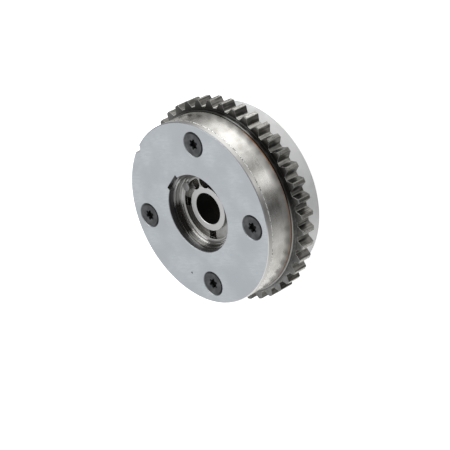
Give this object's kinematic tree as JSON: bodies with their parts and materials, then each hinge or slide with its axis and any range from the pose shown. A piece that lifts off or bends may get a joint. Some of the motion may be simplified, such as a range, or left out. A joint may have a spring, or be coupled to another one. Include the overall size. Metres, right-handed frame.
{
  "type": "cam phaser",
  "caption": "Vane cam phaser: a screwed drum with a chain sprocket round it, and a vaned rotor inside with a stepped front recess and a camshaft socket.",
  "frame": {"origin": "on the axis, at the plane of the rear face that it rests on", "axes": "+Z along the axis from the camshaft side to the front cover; +Y through the middle of the wide chamber and the notch in the front cover's bore"},
  "size_m": [0.1056, 0.1056, 0.0382],
  "materials": {
    "ground_cover": "satin ground",
    "turned_drum": "fine turned",
    "sintered_dark": "dark sintered",
    "pale_drum": "matt blasted",
    "rotor_steel": "turned",
    "black_screw": "black phosphate",
    "spring_steel": "oiled",
    "hardened_steel": "ground",
    "seal_plastic": "moulded"
  },
  "bodies": {
    "housing": {"front_cover": "ground_cover", "stator": "turned_drum", "sprocket_ring": "sintered_dark", "rear_cover": "pale_drum", "cover_screw_1": "black_screw", "cover_screw_2": "black_screw", "cover_screw_3": "black_screw", "cover_screw_4": "black_screw", "lobe_seal_1": "seal_plastic", "lobe_seal_2": "seal_plastic", "lobe_seal_3": "seal_plastic", "lobe_seal_4": "seal_plastic", "lobe_seal_spring_1": "spring_steel", "lobe_seal_spring_2": "spring_steel", "lobe_seal_spring_3": "spring_steel", "lobe_seal_spring_4": "spring_steel", "lock_bush": "hardened_steel", "cover_dowel_1": "hardened_steel", "cover_dowel_2": "hardened_steel", "return_spring": "spring_steel"},
    "rotor": {"rotor": "rotor_steel", "index_pin": "hardened_steel", "vane_seal_1": "seal_plastic", "vane_seal_2": "seal_plastic", "vane_seal_3": "seal_plastic", "vane_seal_4": "seal_plastic", "vane_seal_spring_1": "spring_steel", "vane_seal_spring_2": "spring_steel", "vane_seal_spring_3": "spring_steel", "vane_seal_spring_4": "spring_steel", "lock_pin_plug": "hardened_steel", "lock_pin_spring": "spring_steel"},
    "lock_pin": {"lock_pin": "hardened_steel"}
  },
  "joints": [
    {"name": "phase", "type": "hinge", "parent": "housing", "child": "rotor", "pos_m": [0, 0, 0.019], "axis": [0, 0, -1], "range_deg": [0, 30], "stiffness_Nm_per_rad": 1.5, "springref_deg": -28.65, "deforming": ["return_spring"]},
    {"name": "lock_pin_slide", "type": "slide", "parent": "rotor", "child": "lock_pin", "axis": [0, 0, 1], "range_m": [0, 0.0015], "stiffness_N_per_m": 500, "springref_m": -0.01, "deforming": ["lock_pin_spring"]}
  ]
}
